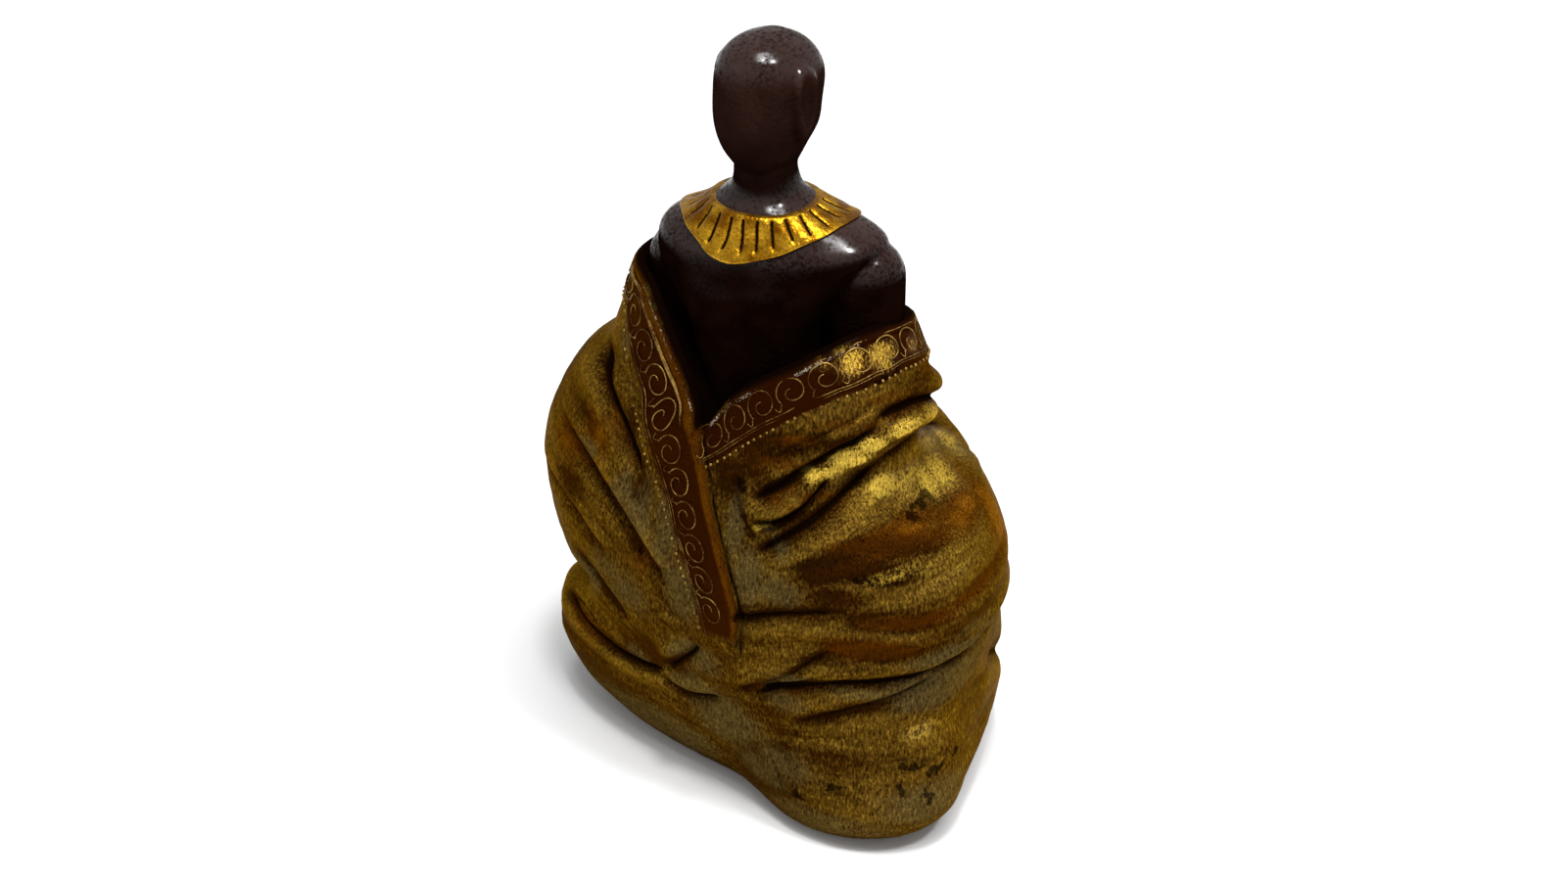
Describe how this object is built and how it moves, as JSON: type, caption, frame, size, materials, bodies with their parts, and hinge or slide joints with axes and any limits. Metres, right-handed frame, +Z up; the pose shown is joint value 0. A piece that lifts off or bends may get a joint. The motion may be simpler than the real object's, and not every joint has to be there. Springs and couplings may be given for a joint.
{
  "type": "seated female figure statue",
  "caption": "Small cast figure of a seated woman wrapped in a heavy draped shawl, with a fluted collar and a flat underside to stand on.",
  "frame": {"origin": "on the flat underside, below the middle of the neck", "axes": "+Z up along the figure's height, -Y the way she faces, +X towards her left hand side"},
  "size_m": [0.1841, 0.1355, 0.2977],
  "materials": {
    "gilded_resin": "antique gold paint over dark brown resin, varnished"
  },
  "bodies": {
    "root": {"seated_figure": "gilded_resin"}
  },
  "joints": []
}
